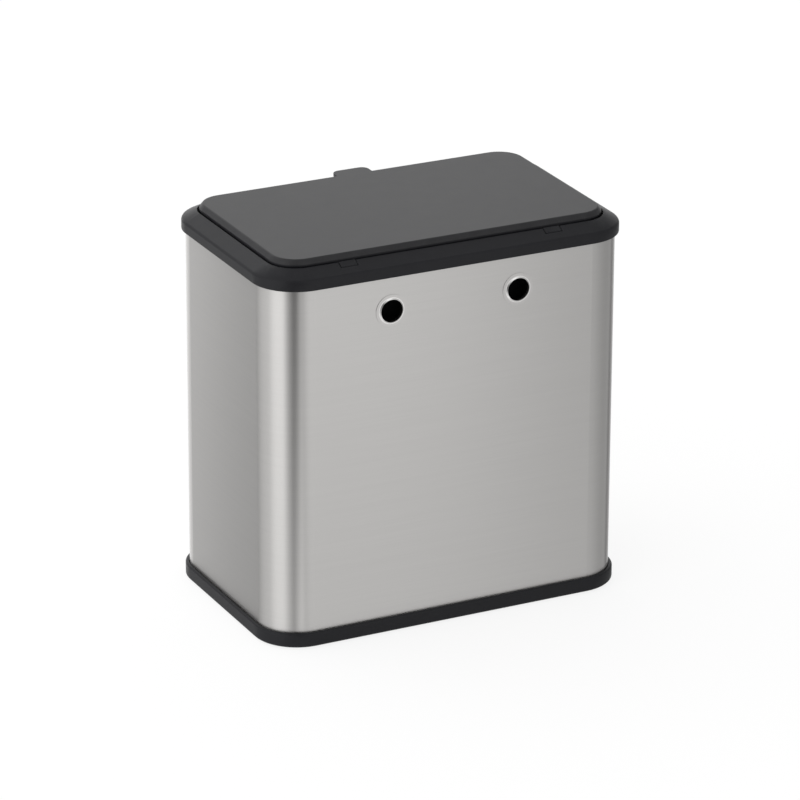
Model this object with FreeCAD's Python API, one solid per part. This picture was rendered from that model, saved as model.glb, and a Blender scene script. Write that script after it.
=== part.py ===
import FreeCAD, Part
import math
import os

# Countertop compost bin: a steel shell between a moulded base and a moulded collar,
# a hinged lid with an odour filter, and a bucket that lifts out.
# Millimetres. Z is up, the lid tab faces -Y and the hanging holes face +Y.
# "out" is a distance outward from the outer face of the shell, in plan.

# Shell
shell_width = 244.0
shell_depth = 151.4
shell_corner_radius = 26.5
shell_sheet = 0.6
shell_visible_height = 225.6
shell_edge_gap = 0.4
shell_fit = 0.25

# Shared trim
trim_overhang = 2.6
trim_edge_radius = 0.8
rib_thickness = 1.8
cut_overrun = 5.0

# Rubber feet
foot_proud = 0.8
foot_size = 14.0
foot_corner = 4.0
foot_thickness = 2.6
foot_fit = 0.05
foot_inset = 26.0
foot_boss_wall = 2.4

# Base
base_lip_height = 9.6
base_bottom_radius = 1.2
base_groove_floor = 2.4
base_wall_height = 10.0
base_floor_low = 2.4
base_floor_thickness = 2.2
base_rib_width = 1.6
base_rib_lift = 0.8
base_rib_spacing = 80.0
base_cross_rib_shares = (-1, 0, 1)

# Snap hooks and their windows in the shell
hook_width = 12.0
hook_height = 2.4
hook_reach = 0.75
hook_root = 0.5
hook_lip = 0.5
hook_spacing = 130.0
window_gap = 0.3
window_drop = 1.6

# Collar
collar_wall_height = 6.8
collar_slope_rise = 5.4
collar_inset = 7.8
collar_roof = 2.2
collar_wall = 2.2
collar_crease_radius = 1.4
collar_lip_radius = 0.3
collar_rib_depth = 8.0
seal_ledge_drop = 9.0
seal_ledge_inset = 13.0
bucket_ledge_drop = 24.5
bucket_ledge_inset = 17.5

# Hanging holes
hole_spacing = 87.0
hole_drop = 22.1
eyelet_bore_radius = 7.35
eyelet_barrel = 0.7
eyelet_fit = 0.05
eyelet_flange = 3.1
eyelet_flange_height = 0.3
eyelet_bead = 0.8
eyelet_bead_height = 0.9
eyelet_back = 0.8

# Lid
lid_gap = 0.92
lid_shoulder_rise = 1.24
lid_edge_height = 2.8
lid_edge_run = 2.2
lid_edge_radius = 0.8
lid_overhang_thickness = 2.4
lid_skirt_inset = 1.55
lid_skirt_depth = 4.8
lid_wall = 2.0
lid_skin = 2.2

# Finger tab
tab_width = 24.5
tab_inset = 1.5
tab_thickness = 2.2
tab_corner_radius = 5.0

# Lid hinge
hinge_spacing_share = 0.574
pin_setback = 1.6
pin_drop = 2.8
pin_radius = 0.95
pin_running_fit = 0.05
pin_bearing_length = 7.0
pin_end_gap = 0.3
knuckle_width = 11.0
knuckle_radius = 2.65
knuckle_gap = 0.3
knuckle_web_drop = 0.8
hinge_block_drop = 5.0
hinge_block_margin = 1.5
pin_groove_length = 24.0

# Lid pan and seal
pan_fit = 0.3
pan_thickness = 1.8
pan_lift = 0.5
seal_lap = 0.3
seal_gap = 0.2
seal_flank = 0.7

# Odour filter
filter_box_length = 98.0
filter_box_width = 66.0
filter_box_wall = 1.8
filter_box_depth = 9.2
door_fit = 0.4
door_thickness = 1.8
door_lift = 0.2
door_axis_inset = 2.6
door_edge_reach = 2.0
door_stub_radius = 1.1
door_stub_fit = 0.08
door_stub_length = 1.6
door_slot_width = 3.0
door_slot_length = 38.0
door_slot_pitch = 8.0
door_slot_shares = (-5, -4, -3, -2, -1, 0, 1, 2, 3, 4, 5)
door_pull_width = 18.0
door_pull_thickness = 1.6
door_pull_drop = 3.0
filter_gap = 0.25
filter_side_gap = 1.2
filter_axis_gap = 3.2
filter_corner_radius = 3.0

# Bucket
bucket_fit = 0.6
bucket_rim_thickness = 2.2
bucket_wall = 1.8
bucket_floor = 2.2
bucket_bottom_height = 12.0
bucket_draft = 4.4
bucket_corner_radius = 14.0
bucket_foot_radius = 6.0
bucket_foot_chords = 2
lug_width = 46.0
lug_height = 13.0
lug_thickness = 2.4
lug_set_in = 0.4
lug_corner_radius = 6.0
lug_root = 1.0
grip_width = 30.0
grip_height = 7.0
grip_radius = 3.4
grip_drop = 2.6

# Heights and places worked out from the sizes above
half_width = shell_width / 2
half_depth = shell_depth / 2
base_bottom = foot_proud
base_lip_top = base_bottom + base_lip_height
base_groove = base_bottom + base_groove_floor
floor_low = base_bottom + base_floor_low
floor_top = floor_low + base_floor_thickness
collar_bottom = base_lip_top + shell_visible_height
collar_crease = collar_bottom + collar_wall_height
collar_lip = collar_crease + collar_slope_rise
collar_slope = collar_slope_rise / (trim_overhang + collar_inset)
seal_ledge = collar_lip - seal_ledge_drop
bucket_ledge = collar_lip - bucket_ledge_drop
rib_outer = -shell_sheet - shell_fit
rib_inner = rib_outer - rib_thickness
shell_bottom = base_groove + shell_edge_gap
hole_height = collar_bottom - hole_drop
lid_out = -collar_inset - lid_gap
lid_top_out = lid_out - lid_edge_run
lid_shoulder = collar_lip + lid_shoulder_rise
lid_top = lid_shoulder + lid_edge_height
lid_overhang_low = lid_shoulder - lid_overhang_thickness
skirt_out = lid_out - lid_skirt_inset
skirt_in = skirt_out - lid_wall
skirt_low = lid_overhang_low - lid_skirt_depth
skin_low = lid_top - lid_skin
pan_low = skirt_low + pan_lift
pan_top = pan_low + pan_thickness
pin_y = half_depth - collar_inset + pin_setback
pin_z = collar_lip - pin_drop
box_low = pan_low - filter_box_depth
door_low = box_low + door_lift
door_top = door_low + door_thickness
door_axis_y = filter_box_width / 2 - filter_box_wall - door_axis_inset
door_axis_z = door_low + door_thickness / 2
rim_top = bucket_ledge + bucket_rim_thickness
vector = FreeCAD.Vector
axis_x = vector(1, 0, 0)
axis_y = vector(0, 1, 0)
axis_z = vector(0, 0, 1)
sides = (-1, 1)
quarter_turn = 90


def roof_over(out):
    """Height of the top of the collar's sloping roof."""
    return collar_lip - (out + collar_inset) * collar_slope


def roof_under(out):
    """Height of the underside of the collar's sloping roof."""
    return roof_over(out) - collar_roof


shell_top = roof_under(0) - shell_edge_gap


def rounded_rectangle(half_x, half_y, radius, height):
    """Closed wire of a rounded rectangle about the Z axis."""
    centres = (
        (half_x - radius, half_y - radius),
        (radius - half_x, half_y - radius),
        (radius - half_x, radius - half_y),
        (half_x - radius, radius - half_y),
    )
    edges = []
    previous_end = None
    first_start = None
    for quarter, (x, y) in enumerate(centres):
        arc_points = []
        for eighth in (0, 1, 2):
            angle = math.pi / 2 * quarter + math.pi / 4 * eighth
            arc_points.append(vector(x + radius * math.cos(angle), y + radius * math.sin(angle), height))
        if previous_end is None:
            first_start = arc_points[0]
        else:
            edges.append(Part.makeLine(previous_end, arc_points[0]))
        edges.append(Part.Arc(*arc_points).toShape())
        previous_end = arc_points[2]
    edges.append(Part.makeLine(previous_end, first_start))
    return Part.Wire(edges)


def plan(out, height):
    """The shell's outline moved outward, at a height."""
    return rounded_rectangle(half_width + out, half_depth + out, shell_corner_radius + out, height)


def plan_block(out, low, high):
    """Straight-sided block with the shell's outline moved outward."""
    return Part.Face(plan(out, low)).extrude(axis_z * (high - low))


def block(x_range, y_range, z_range):
    """Box between three pairs of coordinates."""
    corner = vector(x_range[0], y_range[0], z_range[0])
    return Part.makeBox(
        x_range[1] - x_range[0], y_range[1] - y_range[0], z_range[1] - z_range[0], corner
    )


def rod_x(radius, x_range, y, z):
    """Cylinder along X."""
    return Part.makeCylinder(radius, x_range[1] - x_range[0], vector(x_range[0], y, z), axis_x)


def corner_points(corners, index, chords):
    """Points along the rounding at one corner of an (a, b, rounding) outline, or the sharp corner."""
    a, b, rounding = corners[index]
    here = vector(a, b, 0)
    if not rounding:
        return [here]
    before = (vector(*corners[index - 1][:2], 0) - here).normalize()
    after = (vector(*corners[(index + 1) % len(corners)][:2], 0) - here).normalize()
    half_angle = before.getAngle(after) / 2
    sweep = math.pi - 2 * half_angle
    setback = rounding / math.tan(half_angle)
    centre = here + (before + after).normalize() * (rounding / math.sin(half_angle))
    start = here + before * setback - centre
    end = here + after * setback - centre
    points = []
    for step in range(chords + 1):
        turned = sweep * step / chords
        points.append(centre + (start * math.sin(sweep - turned) + end * math.sin(turned)) / math.sin(sweep))
    return points


def rounded_outline(corners, place):
    """Closed wire through (a, b, rounding) corners; place turns (a, b) into a point."""
    arcs = [[place(point.x, point.y) for point in corner_points(corners, index, 2)]
            for index in range(len(corners))]
    edges = []
    for index, arc in enumerate(arcs):
        if len(arc) > 1:
            edges.append(Part.Arc(*arc).toShape())
        edges.append(Part.makeLine(arc[-1], arcs[(index + 1) % len(arcs)][0]))
    return Part.Wire(edges)


def eased_outline(corners, chords, place):
    """Closed wire like rounded_outline, with each rounding drawn as straight chords."""
    points = [place(point.x, point.y) for index in range(len(corners))
              for point in corner_points(corners, index, chords)]
    return Part.makePolygon(points + points[:1])


def swept_ring(corners):
    """Solid ring: an (out, height, rounding) section carried round the shell's outline."""
    start_y = half_depth - shell_corner_radius
    section = eased_outline(corners, 1, lambda out, height: vector(half_width + out, start_y, height))
    pipe = Part.BRepOffsetAPI.MakePipeShell(plan(0, 0))
    pipe.add(section)
    pipe.build()
    pipe.makeSolid()
    return pipe.shape()


def pad(size, x, y, z_range):
    """Square block with cut corners about a place in plan."""
    square = ((-1, -1), (1, -1), (1, 1), (-1, 1))
    corners = [(x + a * size / 2, y + b * size / 2, foot_corner) for a, b in square]
    outline = eased_outline(corners, 1, lambda a, b: vector(a, b, z_range[0]))
    return Part.Face(outline).extrude(axis_z * (z_range[1] - z_range[0]))


def side_bar(section, turn, along, length):
    """Bar of an (out, height) section on one flat side; turn picks the side, along its place."""
    reach = half_width if turn % (2 * quarter_turn) == 0 else half_depth
    corners = [vector(reach + out, along - length / 2, height) for out, height in section]
    bar = Part.Face(Part.makePolygon(corners + corners[:1])).extrude(axis_y * length)
    return bar.rotate(vector(0, 0, 0), axis_z, turn)


def snap_places():
    """Turn and place along the side of every snap hook."""
    places = [(0, 0), (2 * quarter_turn, 0)]
    for turn in (quarter_turn, 3 * quarter_turn):
        places += [(turn, side * hook_spacing / 2) for side in sides]
    return places


def snap_hooks(catch, toward):
    """Hooks on an inner wall; the catch face looks up (toward 1) or down (toward -1)."""
    root = rib_outer - hook_root
    tip = rib_outer + hook_reach
    section = (
        (root, catch),
        (tip, catch),
        (tip, catch - toward * hook_lip),
        (rib_outer, catch - toward * hook_height),
        (root, catch - toward * hook_height),
    )
    return [side_bar(section, turn, along, hook_width) for turn, along in snap_places()]


def snap_windows(catch, toward):
    """Cutters for the windows that the hooks sit in."""
    near = catch + toward * window_gap
    far = catch - toward * (hook_height + window_gap)
    section = (
        (-shell_sheet - cut_overrun, near),
        (cut_overrun, near),
        (cut_overrun, far),
        (-shell_sheet - cut_overrun, far),
    )
    width = hook_width + 2 * window_gap
    return [side_bar(section, turn, along, width) for turn, along in snap_places()]


collar_catch = shell_top - window_drop
base_catch = shell_bottom + window_drop


def foot_places():
    """Centres of the four feet in plan."""
    return [(x * (half_width - foot_inset), y * (half_depth - foot_inset)) for y in sides for x in sides]


def hole_places():
    """X of the two hanging holes."""
    return [side * hole_spacing / 2 for side in sides]


def knuckle_places():
    """X of the middle of the two lid knuckles."""
    return [side * hinge_spacing_share * half_width for side in sides]


def make_base_tray():
    """Flanged base with a groove for the shell, a ribbed floor and foot sockets."""
    base = swept_ring((
        (trim_overhang, base_bottom, base_bottom_radius),
        (trim_overhang, base_lip_top, trim_edge_radius),
        (shell_fit, base_lip_top, 0),
        (shell_fit, base_groove, 0),
        (rib_outer, base_groove, 0),
        (rib_outer, base_groove + base_wall_height, 0),
        (rib_inner, base_groove + base_wall_height, 0),
        (rib_inner, base_bottom, 0),
    ))
    added = [plan_block(rib_outer - rib_thickness / 2, floor_low, floor_top)]
    rib_z = (base_bottom + base_rib_lift, floor_top - base_floor_thickness / 2)
    reach_x = half_width + rib_outer - rib_thickness / 2
    reach_y = half_depth + rib_outer - rib_thickness / 2
    added.append(block((-reach_x, reach_x), (-base_rib_width / 2, base_rib_width / 2), rib_z))
    for share in base_cross_rib_shares:
        x = share * base_rib_spacing
        added.append(block((x - base_rib_width / 2, x + base_rib_width / 2), (-reach_y, reach_y), rib_z))
    for x, y in foot_places():
        added.append(pad(foot_size + 2 * foot_boss_wall, x, y, rib_z))
    base = base.fuse(added + snap_hooks(base_catch, -1))
    socket_z = (base_bottom - cut_overrun, base_bottom + foot_thickness - foot_proud)
    sockets = [pad(foot_size + 2 * foot_fit, x, y, socket_z) for x, y in foot_places()]
    return base.cut(sockets).removeSplitter()


def make_foot(x, y):
    """Square rubber foot pressed into its socket."""
    return pad(foot_size, x, y, (0, foot_thickness))


def make_shell():
    """Folded steel wrap with hanging holes and snap windows."""
    shell = plan_block(0, shell_bottom, shell_top).cut(plan_block(-shell_sheet, shell_bottom, shell_top))
    hole_radius = eyelet_bore_radius + eyelet_barrel + eyelet_fit
    cutters = []
    for x in hole_places():
        start = vector(x, half_depth - shell_sheet - cut_overrun, hole_height)
        cutters.append(Part.makeCylinder(hole_radius, shell_sheet + 2 * cut_overrun, start, axis_y))
    cutters += snap_windows(collar_catch, 1) + snap_windows(base_catch, -1)
    return shell.cut(cutters)


def make_eyelet(x):
    """Rolled eyelet round one hanging hole."""
    bore = eyelet_bore_radius
    barrel = bore + eyelet_barrel
    section = (
        (bore, -shell_sheet - eyelet_back),
        (barrel, -shell_sheet - eyelet_back),
        (barrel, 0),
        (bore + eyelet_flange, 0),
        (bore + eyelet_flange, eyelet_flange_height),
        (bore + eyelet_bead, eyelet_flange_height),
        (bore, eyelet_bead_height),
    )
    corners = [vector(x + radius, half_depth + y, hole_height) for radius, y in section]
    outline = Part.makePolygon(corners + corners[:1])
    return Part.Face(outline).revolve(vector(x, half_depth, hole_height), axis_y, 4 * quarter_turn)


def make_collar():
    """Top collar: outer lip, sloping roof, seal ledge, bucket ledge, shell rib and hinge pockets."""
    wall_back = collar_wall - collar_inset
    riser_back = collar_wall - seal_ledge_inset
    collar = swept_ring((
        (shell_fit, collar_bottom, 0),
        (trim_overhang, collar_bottom, 0),
        (trim_overhang, collar_crease, collar_crease_radius),
        (-collar_inset, collar_lip, collar_lip_radius),
        (-collar_inset, seal_ledge, 0),
        (-seal_ledge_inset, seal_ledge, 0),
        (-seal_ledge_inset, bucket_ledge, 0),
        (-bucket_ledge_inset, bucket_ledge, 0),
        (-bucket_ledge_inset, bucket_ledge - collar_wall, 0),
        (riser_back, bucket_ledge - collar_wall, 0),
        (riser_back, seal_ledge - collar_wall, 0),
        (wall_back, seal_ledge - collar_wall, 0),
        (wall_back, roof_under(wall_back), 0),
        (rib_inner, roof_under(rib_inner), 0),
        (rib_inner, collar_bottom - collar_rib_depth, 0),
        (rib_outer, collar_bottom - collar_rib_depth, 0),
        (rib_outer, roof_under(rib_outer), 0),
        (shell_fit, roof_under(shell_fit), 0),
    ))
    block_low = pin_z - hinge_block_drop
    block_in = wall_back - collar_wall / 2
    block_out = rib_inner + rib_thickness / 2
    block_section = (
        (block_in, block_low),
        (block_out, block_low),
        (block_out, roof_under(block_out) + collar_roof / 2),
        (block_in, roof_under(block_in) + collar_roof / 2),
    )
    half_block = knuckle_width / 2 + pin_bearing_length + hinge_block_margin
    half_pocket = knuckle_width / 2 + knuckle_gap
    half_bore = knuckle_width / 2 + pin_bearing_length
    inner_face = half_depth - collar_inset
    blocks = []
    cutters = []
    for x in knuckle_places():
        blocks.append(side_bar(block_section, quarter_turn, -x, 2 * half_block))
        pocket_ends = (x - half_pocket, x + half_pocket)
        pocket_radius = knuckle_radius + knuckle_gap
        cutters.append(rod_x(pocket_radius, pocket_ends, pin_y, pin_z))
        cutters.append(block(
            pocket_ends,
            (inner_face - cut_overrun, pin_y),
            (pin_z - pocket_radius, collar_lip + cut_overrun),
        ))
        inward = -1 if x > 0 else 1
        bore_ends = sorted((x - inward * half_bore, x + inward * (half_bore + pin_groove_length)))
        cutters.append(rod_x(pin_radius + pin_running_fit, bore_ends, pin_y, pin_z))
    return collar.fuse(blocks + snap_hooks(collar_catch, 1)).removeSplitter().cut(cutters)


def tab_outline(height):
    """Plan outline of the finger tab, rooted inside the lid's front edge."""
    root = -half_depth - lid_top_out + lid_wall
    end = tab_inset - half_depth
    corners = (
        (-tab_width / 2, root, 0),
        (-tab_width / 2, end, tab_corner_radius),
        (tab_width / 2, end, tab_corner_radius),
        (tab_width / 2, root, 0),
    )
    return rounded_outline(corners, lambda x, y: vector(x, y, height))


def make_knuckle(x):
    """Hinge knuckle with its web to the lid; the shut knuckle lies flush with the collar's slope."""
    pin_out = pin_y - half_depth
    low = pin_z - knuckle_radius
    below = low - cut_overrun
    near = pin_out - knuckle_radius - cut_overrun
    far = pin_out + knuckle_radius + cut_overrun
    web_root = skirt_out - lid_wall / 2
    web_top = collar_lip - knuckle_web_drop
    under_slope = ((near, below), (far, below), (far, roof_over(far)), (near, roof_over(near)))
    web = (
        (web_root, low),
        (pin_out, low),
        (pin_out, roof_over(pin_out)),
        (-collar_inset, collar_lip),
        (-collar_inset, web_top),
        (web_root, web_top),
    )
    barrel = rod_x(knuckle_radius, (x - knuckle_width / 2, x + knuckle_width / 2), pin_y, pin_z)
    barrel = barrel.common(side_bar(under_slope, quarter_turn, -x, knuckle_width))
    return barrel.fuse(side_bar(web, quarter_turn, -x, knuckle_width))


def make_lid_cover():
    """Lid: flat top with a steep edge, overhanging rim, skirt, finger tab and hinge knuckles."""
    core_out = skirt_in - lid_wall
    edge = swept_ring((
        (skirt_in, skirt_low, 0),
        (skirt_out, skirt_low, 0),
        (skirt_out, lid_overhang_low, 0),
        (lid_out, lid_overhang_low, 0),
        (lid_out, lid_shoulder, 0),
        (lid_top_out, lid_top, lid_edge_radius),
        (core_out, lid_top, 0),
        (core_out, skin_low, 0),
        (skirt_in, skin_low, 0),
    ))
    skin = plan_block(core_out + lid_wall / 2, skin_low, lid_top)
    tab = Part.Face(tab_outline(lid_top - tab_thickness)).extrude(axis_z * tab_thickness)
    cover = edge.fuse([skin, tab])
    cover = cover.fuse([make_knuckle(x) for x in knuckle_places()])
    cutters = []
    for x in knuckle_places():
        ends = (x - knuckle_width, x + knuckle_width)
        cutters.append(rod_x(pin_radius, ends, pin_y, pin_z))
    return cover.cut(cutters).removeSplitter()


def make_hinge_pin(x):
    """Steel pin through one knuckle and the collar on both sides of it."""
    half_pin = knuckle_width / 2 + pin_bearing_length - pin_end_gap
    return rod_x(pin_radius, (x - half_pin, x + half_pin), pin_y, pin_z)


def make_lid_seal():
    """Rubber seal under the lid's skirt, just clear of the collar's ledge."""
    return swept_ring((
        (skirt_out + seal_lap, skirt_low, 0),
        (skirt_in - seal_lap, skirt_low, 0),
        (skirt_in - seal_lap + seal_flank, seal_ledge + seal_gap, 0),
        (skirt_out + seal_lap - seal_flank, seal_ledge + seal_gap, 0),
    ))


def make_lid_pan():
    """Panel that closes the lid's underside and carries the filter box."""
    plate = plan_block(skirt_in - pan_fit, pan_low, pan_top)
    half_x = filter_box_length / 2
    half_y = filter_box_width / 2
    wall = filter_box_wall
    outer = block((-half_x, half_x), (-half_y, half_y), (box_low, pan_top - pan_thickness / 2))
    inner_z = (box_low - cut_overrun, pan_low)
    inner = block((wall - half_x, half_x - wall), (wall - half_y, half_y - wall), inner_z)
    stub_ends = (-half_x - cut_overrun, half_x + cut_overrun)
    stub_hole = rod_x(door_stub_radius + door_stub_fit, stub_ends, door_axis_y, door_axis_z)
    return plate.fuse(outer.cut(inner)).cut(stub_hole).removeSplitter()


def make_filter_door():
    """Slotted door under the filter, swinging on two stubs at its rear edge."""
    half_x = filter_box_length / 2 - filter_box_wall - door_fit
    front = -filter_box_width / 2 + filter_box_wall + door_fit
    rear = door_axis_y + door_edge_reach
    door = block((-half_x, half_x), (front, rear), (door_low, door_top))
    stub_ends = (-half_x - door_stub_length, half_x + door_stub_length)
    pull = block(
        (-door_pull_width / 2, door_pull_width / 2),
        (front, front + door_pull_thickness),
        (door_low - door_pull_drop, door_top),
    )
    door = door.fuse([rod_x(door_stub_radius, stub_ends, door_axis_y, door_axis_z), pull])
    slot_y = (front + rear) / 2
    slots = []
    for share in door_slot_shares:
        x = share * door_slot_pitch
        slots.append(block(
            (x - door_slot_width / 2, x + door_slot_width / 2),
            (slot_y - door_slot_length / 2, slot_y + door_slot_length / 2),
            (door_low - cut_overrun, door_top + cut_overrun),
        ))
    return door.cut(slots).removeSplitter()


def make_charcoal_filter():
    """Charcoal pad lying on the filter door."""
    half_x = filter_box_length / 2 - filter_box_wall - filter_side_gap
    front = -filter_box_width / 2 + filter_box_wall + filter_side_gap
    rear = door_axis_y - filter_axis_gap
    low = door_top + filter_gap
    high = pan_low - filter_gap
    corners = [(x, y, filter_corner_radius) for x, y in
               ((-half_x, front), (half_x, front), (half_x, rear), (-half_x, rear))]
    outline = rounded_outline(corners, lambda x, y: vector(x, y, low))
    return Part.Face(outline).extrude(axis_z * (high - low))


def bucket_level(inset, radius, height):
    """Outline of the bucket at a height, inset from the shell's outer face."""
    return rounded_rectangle(half_width - inset, half_depth - inset, radius, height)


def bucket_block(top_inset, top, bottom, foot_radius, corner_radius):
    """Drafted block with an eased bottom edge; its upright corners keep one radius."""
    bottom_inset = top_inset + bucket_draft
    profile = (
        (bottom_inset + 2 * bucket_foot_radius, bottom, 0),
        (bottom_inset, bottom, foot_radius),
        (top_inset, top, 0),
    )
    levels = corner_points(profile, 1, bucket_foot_chords) + corner_points(profile, 2, 1)
    outlines = [bucket_level(level.x, corner_radius, level.y) for level in levels]
    return Part.makeLoft(outlines, True, True)


def make_bucket():
    """Drafted bucket with a rim flange and two lugs with finger holes."""
    inset = bucket_ledge_inset + bucket_fit
    rim_reach = bucket_ledge_inset - seal_ledge_inset
    outer = bucket_block(inset, rim_top, bucket_bottom_height, bucket_foot_radius, bucket_corner_radius)
    inner = bucket_block(
        inset + bucket_wall, rim_top, bucket_bottom_height + bucket_floor,
        bucket_foot_radius - bucket_wall, bucket_corner_radius - bucket_wall)
    rim_outline = bucket_level(inset - rim_reach, bucket_corner_radius + rim_reach, bucket_ledge)
    rim = Part.Face(rim_outline).extrude(axis_z * bucket_rim_thickness)
    lug_outer = half_width - inset + rim_reach - lug_set_in
    lug_top = rim_top + lug_height
    lugs = []
    for side in sides:
        def on_lug(y, z):
            return vector(side * lug_outer, y, z)

        lug = rounded_outline((
            (-lug_width / 2, rim_top - lug_root, 0),
            (lug_width / 2, rim_top - lug_root, 0),
            (lug_width / 2, lug_top, lug_corner_radius),
            (-lug_width / 2, lug_top, lug_corner_radius),
        ), on_lug)
        grip = rounded_outline([(y, z, grip_radius) for y, z in (
            (-grip_width / 2, lug_top - grip_drop - grip_height),
            (grip_width / 2, lug_top - grip_drop - grip_height),
            (grip_width / 2, lug_top - grip_drop),
            (-grip_width / 2, lug_top - grip_drop),
        )], on_lug)
        plate = Part.Face(lug).cut(Part.Face(grip))
        lugs.append(plate.extrude(axis_x * (-side * lug_thickness)))
    return outer.fuse(rim).cut(inner).fuse(lugs).removeSplitter()


nodes = {
    "base_tray": make_base_tray(),
    "outer_shell": make_shell(),
    "top_collar": make_collar(),
    "lid_cover": make_lid_cover(),
    "lid_pan": make_lid_pan(),
    "lid_seal": make_lid_seal(),
    "filter_door": make_filter_door(),
    "charcoal_filter": make_charcoal_filter(),
    "inner_bucket": make_bucket(),
}
for number, (foot_x, foot_y) in enumerate(foot_places(), start=1):
    nodes["rubber_foot_%d" % number] = make_foot(foot_x, foot_y)
for name, hole_x, knuckle_x in zip(("left", "right"), hole_places(), knuckle_places()):
    nodes["hanger_eyelet_" + name] = make_eyelet(hole_x)
    nodes["hinge_pin_" + name] = make_hinge_pin(knuckle_x)

os.makedirs("parts", exist_ok=True)
for node_name, shape in nodes.items():
    shape.exportStep("parts/%s.step" % node_name)
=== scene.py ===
import math

import bmesh
import bpy
from bpy.props import FloatProperty, FloatVectorProperty, PointerProperty
from mathutils import Matrix, Vector


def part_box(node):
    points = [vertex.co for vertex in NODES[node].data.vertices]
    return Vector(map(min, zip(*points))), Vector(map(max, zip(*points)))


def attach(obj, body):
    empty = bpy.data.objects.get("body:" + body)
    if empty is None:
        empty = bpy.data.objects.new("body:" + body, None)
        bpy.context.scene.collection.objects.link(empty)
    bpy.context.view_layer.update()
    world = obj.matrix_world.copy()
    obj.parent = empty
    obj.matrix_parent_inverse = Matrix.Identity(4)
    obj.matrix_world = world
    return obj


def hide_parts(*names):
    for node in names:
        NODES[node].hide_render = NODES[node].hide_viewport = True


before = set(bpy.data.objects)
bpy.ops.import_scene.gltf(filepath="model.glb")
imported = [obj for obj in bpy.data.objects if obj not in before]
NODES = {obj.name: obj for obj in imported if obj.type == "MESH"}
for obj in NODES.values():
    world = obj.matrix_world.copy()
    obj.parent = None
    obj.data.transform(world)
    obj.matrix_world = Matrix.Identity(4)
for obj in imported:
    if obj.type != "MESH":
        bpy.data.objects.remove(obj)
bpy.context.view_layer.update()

bl_info = {
    "name": "Countertop Compost Bin",
    "version": (1, 0, 0),
    "blender": (4, 5, 0),
    "location": "View3D > Sidebar > Compost Bin",
    "description": "Dresses the compost bin with its finishes, fasteners, filter pad and studio",
    "category": "Object",
}

# Easing of the solids' edges: lengths in metres, angles in degrees.
WELD_REACH = 0.000002
FLAT_ANGLE = 0.5
EASE_SEGMENTS = 3
TRIM_ANGLE = 18.0
PAN_ANGLE = 30.0

# Finishes: how far a change of tone takes, in metres, and how far tone and roughness vary.
# How far the eyelets' painted highlight on the bead fades into the flange.
BEAD_HIGHLIGHT_BLEND = 0.0003
# How far the lid's painted shade fades in below its rim.
PAINTED_SHADE_BLEND = 0.0001
TURNED_TONES = (0.94, 1.04)
TURNED_SPREAD = 0.10
SATIN_SPREAD = 0.07

# Screw head, in shares of its radius: outline from the seat's centre to the rim of the crown
# as (out, up), and the cross slot.
HEAD_OUTLINE = ((0.0, 0.0), (1.0, 0.0), (1.0, -0.22), (0.92, -0.36), (0.78, -0.45))
HEAD_STEPS = 24
SLOT_ARM = 0.52
SLOT_HALF_WIDTH = 0.11
SLOT_DEPTH = 0.3

# Felt pad: bevel steps of its upright corners and of its rims.
PAD_CORNER_STEPS = 5
PAD_RIM_STEPS = 3

# Floor: half its side in metres, the tone that lights the object,
# and the tone and glow that the picture shows.
FLOOR_REACH = 6.0
FLOOR_TONE = 0.8
FLOOR_SHOWN = 0.16
FLOOR_GLOW = 0.85
WHITE = (1.0, 1.0, 1.0)

# Studio that the metal mirrors: a drum with soft panels and dark flags between them.
# Each has a bearing from +Y towards +X and a half width, both in degrees, a brightness
# at floor level and what that gains in each metre of height, within the heights that gain.
STUDIO_LEVEL = 0.54
STUDIO_RISE = 0.2
STUDIO_DARKEST = 0.08
RISE_HEIGHTS = (-0.2, 0.1)
STUDIO_PANELS = (
    (-99.0, 8.0, -0.30, 0.0),
    (-87.0, 4.0, 0.12, 0.0),
    (-70.0, 40.0, -0.08, -0.4),
    (-14.0, 62.0, 0.15, -0.25),
    (-8.0, 27.0, 0.255, 0.65),
    (25.0, 14.0, 0.05, -1.7),
    (41.0, 19.5, -0.50, -1.9),
    (65.5, 29.0, 0.38, 0.4),
    (76.0, 65.0, 0.32, 0.2),
    (136.5, 6.0, -0.40, 0.0),
    (192.0, 62.0, 0.65, 0.0),
)
DRUM_RADIUS = 0.5
DRUM_HEIGHT = 1.6
DRUM_SIDES = 96

# World: the way to its bright side, what that side gains, and its level in reflections.
BRIGHT_SIDE = (0.8, -0.6, 0.0)
SIDE_LIGHT = 0.9
SKY_MIRRORED = 0.60

# Camera: its bearing from +Y towards +X, its tilt down and its roll in degrees,
# its place in metres, and its lens and sensor in millimetres.
CAMERA_YAW = 26.58
CAMERA_PITCH = 21.64
CAMERA_ROLL = 0.24
CAMERA_PLACE = (1.28546, 2.57017, 1.26089)
LENS_LENGTH = 220.0
SENSOR_WIDTH = 36.0


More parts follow.
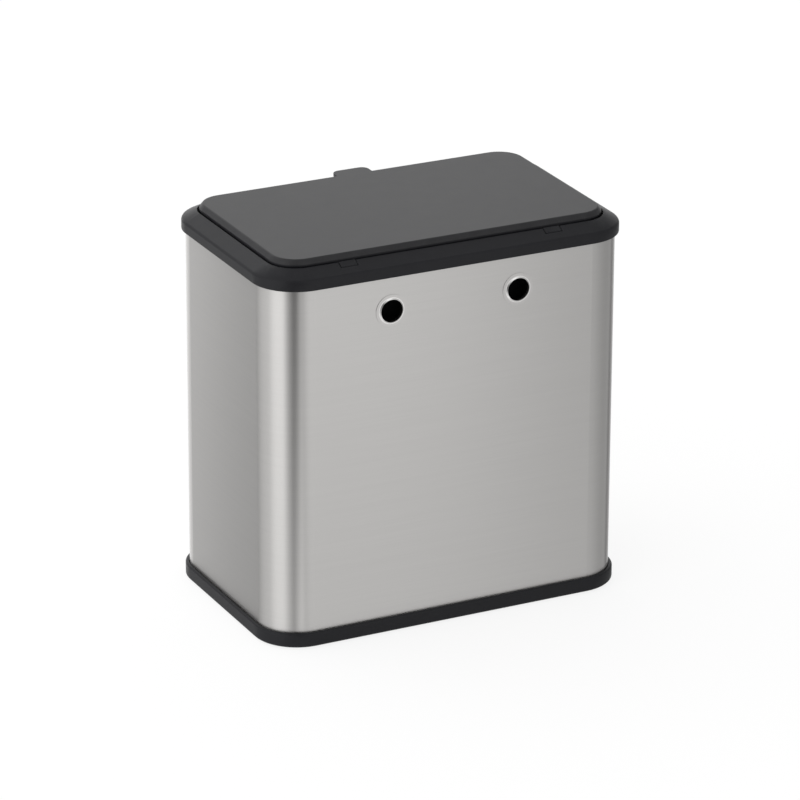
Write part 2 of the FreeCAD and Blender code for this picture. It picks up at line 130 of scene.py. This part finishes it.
class BinSizes(bpy.types.PropertyGroup):
    """Sizes of the details that the solids leave to this file."""

    trim_edge: FloatProperty(
        name="Trim edge", description="Rounding of the moulded trim's edges",
        default=0.0005, unit="LENGTH")
    lid_edge: FloatProperty(
        name="Lid edge", description="Rounding of the lid's edges",
        default=0.0003, unit="LENGTH")
    pan_edge: FloatProperty(
        name="Pan edge", description="Rounding of the lid pan's and filter door's edges",
        default=0.00015, unit="LENGTH")
    # This radius also bounds the eyelets' painted highlight.
    bead_highlight_radius: FloatProperty(
        name="Bead radius", description="Outer radius of the eyelets' polished bead",
        default=0.0084, unit="LENGTH")
    # Below this band the lid cover is painted in the darker trim colour as shade.
    lid_rim: FloatProperty(
        name="Lid rim", description="Height of the lid's sloped rim over its hinge knuckles",
        default=0.003, unit="LENGTH")
    pan_plate: FloatProperty(
        name="Pan plate", description="Thickness of the lid pan's plate",
        default=0.0018, unit="LENGTH")
    screw_head: FloatProperty(
        name="Screw head", description="Radius of the lid pan's screw heads",
        default=0.0027, unit="LENGTH")
    screw_span_x: FloatProperty(
        name="Screw span along", description="Distance between screws along the lid",
        default=0.164, unit="LENGTH")
    screw_span_y: FloatProperty(
        name="Screw span across", description="Distance between screws across the lid",
        default=0.094, unit="LENGTH")
    pad_corner: FloatProperty(
        name="Pad corner", description="Rounding of the felt pad's upright corners",
        default=0.003, unit="LENGTH")
    pad_crown: FloatProperty(
        name="Pad crown", description="How far the felt pad's faces draw in at its rim",
        default=0.0007, unit="LENGTH")


class BinColours(bpy.types.PropertyGroup):
    """Base colours of the finishes."""

    steel: FloatVectorProperty(
        name="Brushed steel", description="Shell",
        subtype="COLOR", size=3, default=(0.56, 0.551, 0.540))
    eyelet: FloatVectorProperty(
        name="Eyelet steel", description="Hanging eyelets",
        subtype="COLOR", size=3, default=(0.57, 0.56, 0.55))
    # The bead's lighter colour is a painted highlight round the eyelets' holes.
    bead: FloatVectorProperty(
        name="Bead steel", description="Polished bead of the eyelets",
        subtype="COLOR", size=3, default=(0.86, 0.85, 0.84))
    bright_steel: FloatVectorProperty(
        name="Bright steel", description="Pins and screws",
        subtype="COLOR", size=3, default=(0.72, 0.71, 0.70))
    # Also painted as shade on the lid cover below its rim: its skirt in the gap and its knuckles.
    trim: FloatVectorProperty(
        name="Trim plastic", description="Collar, base and the lid's hinge knuckles",
        subtype="COLOR", size=3, default=(0.0118, 0.0120, 0.0145))
    lid: FloatVectorProperty(
        name="Lid plastic", description="Lid cover",
        subtype="COLOR", size=3, default=(0.027, 0.027, 0.029))
    pan: FloatVectorProperty(
        name="Pan plastic", description="Lid underside and filter door",
        subtype="COLOR", size=3, default=(0.022, 0.022, 0.023))
    bucket: FloatVectorProperty(
        name="Bucket plastic", description="Lift-out bucket",
        subtype="COLOR", size=3, default=(0.015, 0.015, 0.016))
    rubber: FloatVectorProperty(
        name="Rubber", description="Feet and seal",
        subtype="COLOR", size=3, default=(0.020, 0.020, 0.0205))
    felt: FloatVectorProperty(
        name="Charcoal felt", description="Odour pad",
        subtype="COLOR", size=3, default=(0.018, 0.018, 0.019))


class Value:
    """A shader socket; arithmetic on it adds Math nodes."""

    def __init__(self, finish, socket):
        self.finish = finish
        self.socket = socket

    def __add__(self, other):
        return self.finish.math("ADD", self, other)

    __radd__ = __add__

    def __sub__(self, other):
        return self.finish.math("SUBTRACT", self, other)

    def __rsub__(self, other):
        return self.finish.math("SUBTRACT", other, self)

    def __mul__(self, other):
        return self.finish.math("MULTIPLY", self, other)

    __rmul__ = __mul__

    def at_least(self, least):
        return self.finish.math("MAXIMUM", self, least)

    def between(self, low, high):
        """From low to high as this value goes from 0 to 1."""
        return self * (high - low) + low


class Finish:
    """Builds one node tree, of a material or of the world."""

    def __init__(self, owner):
        owner.use_nodes = True
        self.owner = owner
        self.tree = owner.node_tree
        self.tree.nodes.clear()

    def node(self, kind, settings=None, inputs=None):
        """Adds a node, sets it up, feeds its sockets and returns its outputs."""
        made = self.tree.nodes.new(kind)
        for name, value in (settings or {}).items():
            setattr(made, name, value)
        for name, value in (inputs or {}).items():
            socket = made.inputs[name]
            if isinstance(value, Value):
                self.tree.links.new(value.socket, socket)
            else:
                socket.default_value = value
        return [Value(self, output) for output in made.outputs if output.enabled]

    def named(self, kind):
        """Adds a node that needs no setting up and returns its outputs by name."""
        return {value.socket.name: value for value in self.node(kind)}

    def math(self, operation, first, second):
        return self.node("ShaderNodeMath", {"operation": operation}, {0: first, 1: second})[0]

    def vector_math(self, operation, first, second):
        """A number worked out from two vectors."""
        return self.node("ShaderNodeVectorMath", {"operation": operation}, {0: first, 1: second})[0]

    def object_place(self, stretch=(1.0, 1.0, 1.0)):
        """Object coordinates, stretched along the axes."""
        place = self.named("ShaderNodeTexCoord")["Object"]
        return self.node("ShaderNodeMapping", inputs={"Vector": place, "Scale": stretch})[0]

    def height(self):
        """Height in the object's own frame."""
        return self.node("ShaderNodeSeparateXYZ", inputs={"Vector": self.object_place()})[2]

    def share(self, value, start, end, easing="LINEAR"):
        """0 at the start to 1 at the end, held beyond them."""
        return self.node("ShaderNodeMapRange", {"interpolation_type": easing}, {
            "Value": value, "From Min": start, "From Max": end})[0]

    def mix(self, share, first, second):
        """From the first colour to the second by a share."""
        return self.node("ShaderNodeMix", {"data_type": "RGBA"}, {
            "Factor": share, 6: first, 7: second})[0]

    def noise(self, place, scale, detail):
        """Noise about 0.5."""
        return self.node("ShaderNodeTexNoise", inputs={
            "Vector": place, "Scale": scale, "Detail": detail})[0]

    def tint(self, colour, share, dark, light):
        """A colour scaled from dark to light by a share."""
        return self.mix(share, opaque(colour, dark), opaque(colour, light))

    def bump(self, height, distance, strength):
        return self.node("ShaderNodeBump", inputs={
            "Height": height, "Distance": distance, "Strength": strength})[0]

    def close(self, shader):
        """Sends a shader to the material's output and returns the material."""
        self.node("ShaderNodeOutputMaterial", inputs={"Surface": shader})
        return self.owner

    def surface(self, inputs):
        """Makes the material one Principled surface and returns it."""
        return self.close(self.node("ShaderNodeBsdfPrincipled", inputs=inputs)[0])


def opaque(colour, level=1.0):
    """A colour at a level, with the alpha that a colour socket takes."""
    return tuple(channel * level for channel in colour) + (1.0,)


def new_finish(name):
    return Finish(bpy.data.materials.new(name))


def brushed_steel(colour):
    """Sheet steel brushed along the horizontal."""
    finish = new_finish("brushed_steel")
    fine = finish.noise(finish.object_place((12.0, 12.0, 2600.0)), scale=1.0, detail=3.0)
    broad = finish.noise(finish.object_place((5.0, 5.0, 320.0)), scale=1.0, detail=2.0)
    streak = fine * 0.65 + broad * 0.35
    return finish.surface({
        "Base Color": finish.tint(colour, streak, dark=0.93, light=1.07),
        "Metallic": 1.0,
        "Roughness": streak.between(low=0.25, high=0.35),
        "Anisotropic": 0.85,
        "Anisotropic Rotation": 0.25,
        "Normal": finish.bump(fine, distance=0.00002, strength=0.25),
    })


def steel_grain(finish):
    """Fine grain of turned and rolled steel."""
    return finish.noise(finish.object_place(), scale=900.0, detail=3.0)


def turned_steel(name, colour, roughness):
    """Turned steel of pins and screws."""
    finish = new_finish(name)
    grain = steel_grain(finish)
    return finish.surface({
        "Base Color": finish.tint(colour, grain, *TURNED_TONES),
        "Metallic": 1.0,
        "Roughness": grain.between(roughness, roughness + TURNED_SPREAD),
    })


def rolled_eyelet(name, colour, bead_highlight_colour, centre, bead_highlight_radius):
    """Rolled eyelet: a plain flange and a polished bead round the hole; the bead's lighter colour
    is a painted highlight.
    """
    finish = new_finish(name)
    flange_tone = finish.tint(colour, steel_grain(finish), *TURNED_TONES)
    reach = finish.vector_math(
        "DISTANCE", finish.object_place((1.0, 0.0, 1.0)), (centre.x, 0.0, centre.z))
    # Inside the bead's radius the colour is the bead's lighter painted highlight.
    flange = finish.share(reach, bead_highlight_radius, bead_highlight_radius + BEAD_HIGHLIGHT_BLEND)
    return finish.surface({
        "Base Color": finish.mix(flange, opaque(bead_highlight_colour), flange_tone),
        "Metallic": 1.0,
        "Roughness": flange.between(low=0.22, high=0.28),
    })


def moulded_plastic(name, colour, roughness, shine, mottle, painted_shade_colour=None, painted_shade_top=0.0):
    """Satin moulded plastic with a fine grain and a faint cloudiness.

    With a second, darker colour it has that tone below a height, as painted shade.
    """
    finish = new_finish(name)
    place = finish.object_place()
    grain = finish.noise(place, scale=1300.0, detail=3.0)
    blend = finish.noise(place, scale=110.0, detail=4.0) * 0.65 + grain * 0.35
    cloud = finish.share(blend, start=0.35, end=0.65)
    tone = finish.tint(colour, cloud, dark=1.0 - mottle, light=1.0 + mottle)
    if painted_shade_colour is not None:
        above_painted_shade = finish.share(finish.height(), painted_shade_top - PAINTED_SHADE_BLEND, painted_shade_top)
        tone = finish.mix(above_painted_shade, opaque(painted_shade_colour), tone)
    return finish.surface({
        "Base Color": tone,
        "Roughness": blend.between(roughness - SATIN_SPREAD, roughness + SATIN_SPREAD),
        "Specular IOR Level": shine,
        "Normal": finish.bump(grain, distance=0.00005, strength=0.5),
    })


def soft_rubber(name, colour):
    """Matt rubber with a dusty bloom."""
    finish = new_finish(name)
    place = finish.object_place()
    bloom = finish.noise(place, scale=120.0, detail=4.0)
    pores = finish.noise(place, scale=1800.0, detail=2.0)
    return finish.surface({
        "Base Color": finish.tint(colour, bloom, dark=0.85, light=1.25),
        "Roughness": bloom.between(low=0.65, high=0.80),
        "Normal": finish.bump(pores, distance=0.00004, strength=0.4),
    })


def needled_felt(colour):
    """Needled charcoal felt: fibres along and across, and tufts."""
    finish = new_finish("needled_felt")
    along = finish.noise(finish.object_place((1.0, 0.35, 1.0)), scale=2200.0, detail=4.0)
    across = finish.noise(finish.object_place((0.35, 1.0, 1.0)), scale=2200.0, detail=4.0)
    tufts = finish.noise(finish.object_place(), scale=320.0, detail=3.0)
    tangle = along * 0.4 + across * 0.4 + tufts * 0.2
    return finish.surface({
        "Base Color": finish.tint(colour, tangle, dark=0.4, light=1.8),
        "Roughness": 0.95,
        "Sheen Weight": 0.15,
        "Normal": finish.bump(tangle, distance=0.0003, strength=0.8),
    })


def give_finish(piece, material):
    piece.data.materials.clear()
    piece.data.materials.append(material)


def ease_edges(node, width, angle):
    """Rounds a solid's edges with modifiers; its own mesh stays as it is."""
    weld = node.modifiers.new("join_faces", "WELD")
    weld.merge_threshold = WELD_REACH
    flats = node.modifiers.new("clean_flats", "DECIMATE")
    flats.decimate_type = "DISSOLVE"
    flats.angle_limit = math.radians(FLAT_ANGLE)
    bevel = node.modifiers.new("ease_edges", "BEVEL")
    bevel.width = width
    bevel.segments = EASE_SEGMENTS
    bevel.limit_method = "ANGLE"
    bevel.angle_limit = math.radians(angle)
    bevel.use_clamp_overlap = False
    bevel.harden_normals = True


def new_object(name, mesh, material):
    """Turns a bmesh into an object of the scene."""
    data = bpy.data.meshes.new(name)
    mesh.to_mesh(data)
    mesh.free()
    made = bpy.data.objects.new(name, data)
    bpy.context.scene.collection.objects.link(made)
    give_finish(made, material)
    return made


def new_piece(name, mesh, body, material):
    """Turns a bmesh into a piece that rides on a body."""
    bmesh.ops.recalc_face_normals(mesh, faces=mesh.faces)
    piece = new_object(name, mesh, material)
    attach(piece, body)
    return piece


def new_stage_piece(name, mesh, material):
    """Turns a bmesh into an object for the stage, which rides on no body."""
    piece = new_object(name, mesh, material)
    return piece


def finished(operator):
    """What every operator returns."""
    operator.report({"INFO"}, operator.bl_label)
    return {"FINISHED"}


class COMPOSTBIN_OT_shell(bpy.types.Operator):
    """Finish the steel shell, its hanging eyelets and the hinge pins"""

    bl_idname = "compost_bin.shell"
    bl_label = "Steel Shell"

    def execute(self, context):
        colours = context.scene.compost_bin_colours
        bead_highlight_radius = context.scene.compost_bin_sizes.bead_highlight_radius
        give_finish(NODES["outer_shell"], brushed_steel(colours.steel))
        pin = turned_steel("pin_steel", colours.bright_steel, roughness=0.17)
        for side in ("left", "right"):
            eyelet = "hanger_eyelet_" + side
            low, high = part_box(eyelet)
            centre = (low + high) / 2
            give_finish(NODES[eyelet], rolled_eyelet(
                "eyelet_steel_" + side, colours.eyelet, colours.bead, centre, bead_highlight_radius))
            give_finish(NODES["hinge_pin_" + side], pin)
        return finished(self)


class COMPOSTBIN_OT_trim(bpy.types.Operator):
    """Finish the moulded collar, base and feet"""

    bl_idname = "compost_bin.trim"
    bl_label = "Moulded Trim"

    def execute(self, context):
        colours = context.scene.compost_bin_colours
        sizes = context.scene.compost_bin_sizes
        plastic = moulded_plastic(
            "trim_plastic", colours.trim, roughness=0.42, shine=0.22, mottle=0.08)
        for name in ("top_collar", "base_tray"):
            give_finish(NODES[name], plastic)
            ease_edges(NODES[name], sizes.trim_edge, TRIM_ANGLE)
        rubber = soft_rubber("foot_rubber", colours.rubber)
        for number in (1, 2, 3, 4):
            give_finish(NODES["rubber_foot_%d" % number], rubber)
        return finished(self)


class COMPOSTBIN_OT_lid(bpy.types.Operator):
    """Finish the lid, its pan, seal and filter door"""

    bl_idname = "compost_bin.lid"
    bl_label = "Lid"

    def execute(self, context):
        colours = context.scene.compost_bin_colours
        sizes = context.scene.compost_bin_sizes
        # Below the rim foot the lid cover takes the darker trim colour: painted shade on its skirt
        # down in the gap, and on its knuckles.
        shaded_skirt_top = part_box("lid_cover")[1].z - sizes.lid_rim
        give_finish(NODES["lid_cover"], moulded_plastic(
            "lid_plastic", colours.lid, roughness=0.40, shine=0.22, mottle=0.14,
            painted_shade_colour=colours.trim, painted_shade_top=shaded_skirt_top))
        ease_edges(NODES["lid_cover"], sizes.lid_edge, TRIM_ANGLE)
        pan = moulded_plastic(
            "pan_plastic", colours.pan, roughness=0.45, shine=0.40, mottle=0.08)
        for name in ("lid_pan", "filter_door"):
            give_finish(NODES[name], pan)
            ease_edges(NODES[name], sizes.pan_edge, PAN_ANGLE)
        give_finish(NODES["lid_seal"], soft_rubber("seal_rubber", colours.rubber))
        return finished(self)


class COMPOSTBIN_OT_screws(bpy.types.Operator):
    """Add the four cross-slot screws of the lid pan"""

    bl_idname = "compost_bin.screws"
    bl_label = "Lid Screws"

    def execute(self, context):
        sizes = context.scene.compost_bin_sizes
        bright_steel = context.scene.compost_bin_colours.bright_steel
        steel = turned_steel("screw_steel", bright_steel, roughness=0.30)
        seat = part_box("lid_pan")[1].z - sizes.pan_plate
        corners = ((-1, -1), (1, -1), (-1, 1), (1, 1))
        for number, (along, across) in enumerate(corners, start=1):
            mesh = self.make_head(sizes.screw_head)
            place = Vector((along * sizes.screw_span_x / 2, across * sizes.screw_span_y / 2, seat))
            bmesh.ops.translate(mesh, verts=mesh.verts, vec=place)
            new_piece("lid_screw_%d" % number, mesh, "lid", steel)
        return finished(self)

    @staticmethod
    def make_head(radius):
        """Domed head that looks down, with a cross slot."""
        mesh = bmesh.new()
        points = [mesh.verts.new((radius * out, 0.0, radius * up)) for out, up in HEAD_OUTLINE]
        edges = [mesh.edges.new(pair) for pair in zip(points, points[1:])]
        bmesh.ops.spin(mesh, geom=points + edges, axis=(0.0, 0.0, 1.0), angle=2 * math.pi,
                       steps=HEAD_STEPS, use_merge=True)
        bmesh.ops.remove_doubles(mesh, verts=mesh.verts, dist=radius / 1000)
        low = min(vert.co.z for vert in mesh.verts)
        rim = [edge for edge in mesh.edges if edge.is_boundary]
        arm, half = SLOT_ARM * radius, SLOT_HALF_WIDTH * radius
        cross = []
        for quarter in range(4):
            turn = Matrix.Rotation(math.pi / 2 * quarter, 3, "Z")
            cross += [mesh.verts.new(turn @ Vector((x, y, low)))
                      for x, y in ((half, half), (half, arm), (-half, arm))]
        slot = [mesh.edges.new((cross[index - 1], cross[index])) for index in range(len(cross))]
        bmesh.ops.triangle_fill(mesh, edges=rim + slot, use_beauty=True)
        walls = bmesh.ops.extrude_edge_only(mesh, edges=slot)["geom"]
        sunk = [item for item in walls if isinstance(item, bmesh.types.BMVert)]
        bmesh.ops.translate(mesh, verts=sunk, vec=(0.0, 0.0, SLOT_DEPTH * radius))
        floor = [item for item in walls
                 if isinstance(item, bmesh.types.BMEdge) and item.is_boundary]
        bmesh.ops.triangle_fill(mesh, edges=floor, use_beauty=True)
        return mesh


class COMPOSTBIN_OT_filter_pad(bpy.types.Operator):
    """Model the charcoal felt pad of the odour filter"""

    bl_idname = "compost_bin.filter_pad"
    bl_label = "Charcoal Pad"

    def execute(self, context):
        sizes = context.scene.compost_bin_sizes
        felt = needled_felt(context.scene.compost_bin_colours.felt)
        low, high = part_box("charcoal_filter")
        mesh = bmesh.new()
        bmesh.ops.create_cube(mesh, size=1.0)
        bmesh.ops.scale(mesh, vec=high - low, verts=mesh.verts)
        bmesh.ops.translate(mesh, vec=(low + high) / 2, verts=mesh.verts)
        half_height = (high.z - low.z) / 2
        upright = [edge for edge in mesh.edges if self.climb(edge) > half_height]
        bmesh.ops.bevel(mesh, geom=upright, offset=sizes.pad_corner, segments=PAD_CORNER_STEPS,
                        profile=0.5, affect="EDGES", material=-1)
        rims = [edge for edge in mesh.edges if self.climb(edge) < half_height]
        bmesh.ops.bevel(mesh, geom=rims, offset=sizes.pad_crown, segments=PAD_RIM_STEPS,
                        profile=0.5, affect="EDGES", material=-1)
        pad = new_piece("charcoal_pad", mesh, "lid", felt)
        for polygon in pad.data.polygons:
            polygon.use_smooth = True
        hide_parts("charcoal_filter")
        return finished(self)

    @staticmethod
    def climb(edge):
        """Height from one end of an edge to the other."""
        first, second = edge.verts
        return abs(first.co.z - second.co.z)


class COMPOSTBIN_OT_bucket(bpy.types.Operator):
    """Finish the lift-out bucket"""

    bl_idname = "compost_bin.bucket"
    bl_label = "Bucket"

    def execute(self, context):
        colour = context.scene.compost_bin_colours.bucket
        give_finish(NODES["inner_bucket"], moulded_plastic(
            "bucket_plastic", colour, roughness=0.38, shine=0.40, mottle=0.08))
        return finished(self)


def studio_level(finish, outward):
    """Brightness of the studio in a horizontal direction of unit length."""
    lowest, highest = RISE_HEIGHTS
    height = finish.node("ShaderNodeClamp", inputs={
        "Value": finish.height(), "Min": lowest, "Max": highest})[0]
    level = height * STUDIO_RISE + STUDIO_LEVEL
    for bearing, half_width, brightness, rise in STUDIO_PANELS:
        turn = math.radians(bearing)
        middle = (math.sin(turn), math.cos(turn), 0.0)
        facing = finish.vector_math("DOT_PRODUCT", outward, middle)
        rim = math.cos(math.radians(half_width))
        panel = finish.share(facing, rim, 1.0, easing="SMOOTHSTEP")
        level = level + panel * (height * rise + brightness)
    return level.at_least(STUDIO_DARKEST)


class COMPOSTBIN_OT_stage(bpy.types.Operator):
    """Set up the floor, studio light and camera"""

    bl_idname = "compost_bin.stage"
    bl_label = "Studio"

    def execute(self, context):
        self.make_floor()
        self.make_drum()
        self.make_world(context.scene)
        self.make_camera(context.scene)
        context.scene.view_settings.view_transform = "Standard"
        return finished(self)

    @staticmethod
    def make_floor():
        """White floor that keeps the shadow; in its place the metal mirrors the drum."""
        mesh = bmesh.new()
        bmesh.ops.create_grid(mesh, x_segments=1, y_segments=1, size=FLOOR_REACH)
        finish = new_finish("floor_white")
        path = finish.named("ShaderNodeLightPath")
        plain, shaded = (
            finish.node("ShaderNodeBsdfDiffuse", inputs={"Color": opaque(WHITE, tone)})[0]
            for tone in (FLOOR_TONE, FLOOR_SHOWN))
        lit = finish.node("ShaderNodeEmission", inputs={
            "Color": opaque(WHITE), "Strength": FLOOR_GLOW})[0]
        shown = finish.node("ShaderNodeAddShader", inputs={0: shaded, 1: lit})[0]
        seen = path["Is Camera Ray"] + path["Is Glossy Ray"] + path["Is Transmission Ray"]
        ground = finish.node("ShaderNodeMixShader", inputs={0: seen, 1: plain, 2: shown})[0]
        floor = new_stage_piece("floor", mesh, finish.close(ground))
        floor.visible_glossy = False

    @staticmethod
    def make_drum():
        """Wall of soft panels round the stage, seen only in reflections."""
        mesh = bmesh.new()
        bmesh.ops.create_cone(mesh, cap_ends=False, segments=DRUM_SIDES, radius1=DRUM_RADIUS,
                              radius2=DRUM_RADIUS, depth=DRUM_HEIGHT)
        finish = new_finish("studio_wall")
        outward = finish.object_place((1.0 / DRUM_RADIUS, 1.0 / DRUM_RADIUS, 0.0))
        level = studio_level(finish, outward)
        glow = finish.node("ShaderNodeEmission", inputs={"Color": level})[0]
        drum = new_stage_piece("studio_drum", mesh, finish.close(glow))
        drum.visible_camera = False
        drum.visible_diffuse = False
        drum.visible_transmission = False
        drum.visible_shadow = False

    @staticmethod
    def make_world(scene):
        """White all round, brighter on the side away from the camera, and dim in reflections."""
        scene.world = bpy.data.worlds.new("studio")
        finish = Finish(scene.world)
        path = finish.named("ShaderNodeLightPath")
        direction = finish.named("ShaderNodeTexCoord")["Generated"]
        bright_side = finish.vector_math("DOT_PRODUCT", direction, BRIGHT_SIDE)
        light = bright_side * SIDE_LIGHT + 1.0
        light = light + path["Is Glossy Ray"] * (SKY_MIRRORED - light)
        seen = path["Is Camera Ray"] + path["Is Transmission Ray"]
        light = light + seen * (1.0 - light)
        sky = finish.node("ShaderNodeBackground", inputs={"Color": light, "Strength": 1.0})[0]
        finish.node("ShaderNodeOutputWorld", inputs={"Surface": sky})

    @staticmethod
    def make_camera(scene):
        """Long lens at the photograph's angle."""
        yaw = math.radians(CAMERA_YAW)
        pitch = math.radians(CAMERA_PITCH)
        roll = math.radians(CAMERA_ROLL)
        flat = Vector((-math.sin(yaw), -math.cos(yaw), 0.0))
        level_right = Vector((-math.cos(yaw), math.sin(yaw), 0.0))
        level_up = flat * math.sin(pitch) + Vector((0.0, 0.0, math.cos(pitch)))
        forward = flat * math.cos(pitch) - Vector((0.0, 0.0, math.sin(pitch)))
        right = level_right * math.cos(roll) + level_up * math.sin(roll)
        up = level_up * math.cos(roll) - level_right * math.sin(roll)
        turn = Matrix((right, up, -forward)).transposed().to_4x4()
        lens = bpy.data.cameras.new("camera")
        lens.lens = LENS_LENGTH
        lens.sensor_width = SENSOR_WIDTH
        camera = bpy.data.objects.new("camera", lens)
        scene.collection.objects.link(camera)
        camera.matrix_world = Matrix.Translation(CAMERA_PLACE) @ turn
        scene.camera = camera


class COMPOSTBIN_PT_panel(bpy.types.Panel):
    """Lists the bin's pieces and their sizes and colours"""

    bl_idname = "COMPOSTBIN_PT_panel"
    bl_label = "Compost Bin"
    bl_space_type = "VIEW_3D"
    bl_region_type = "UI"
    bl_category = "Compost Bin"

    def draw(self, context):
        for operator in OPERATORS:
            self.layout.operator(operator.bl_idname)
        for group in (context.scene.compost_bin_sizes, context.scene.compost_bin_colours):
            for name in group.bl_rna.properties.keys():
                if name not in ("rna_type", "name"):
                    self.layout.prop(group, name)


OPERATORS = (
    COMPOSTBIN_OT_shell,
    COMPOSTBIN_OT_trim,
    COMPOSTBIN_OT_lid,
    COMPOSTBIN_OT_screws,
    COMPOSTBIN_OT_filter_pad,
    COMPOSTBIN_OT_bucket,
    COMPOSTBIN_OT_stage,
)
CLASSES = (BinSizes, BinColours) + OPERATORS + (COMPOSTBIN_PT_panel,)


def register():
    for entry in CLASSES:
        bpy.utils.register_class(entry)
    bpy.types.Scene.compost_bin_sizes = PointerProperty(type=BinSizes)
    bpy.types.Scene.compost_bin_colours = PointerProperty(type=BinColours)


def unregister():
    del bpy.types.Scene.compost_bin_colours
    del bpy.types.Scene.compost_bin_sizes
    for entry in reversed(CLASSES):
        bpy.utils.unregister_class(entry)


def main():
    register()
    bpy.ops.compost_bin.shell()
    bpy.ops.compost_bin.trim()
    bpy.ops.compost_bin.lid()
    bpy.ops.compost_bin.screws()
    bpy.ops.compost_bin.filter_pad()
    bpy.ops.compost_bin.bucket()
    bpy.ops.compost_bin.stage()


if __name__ == "__main__":
    main()
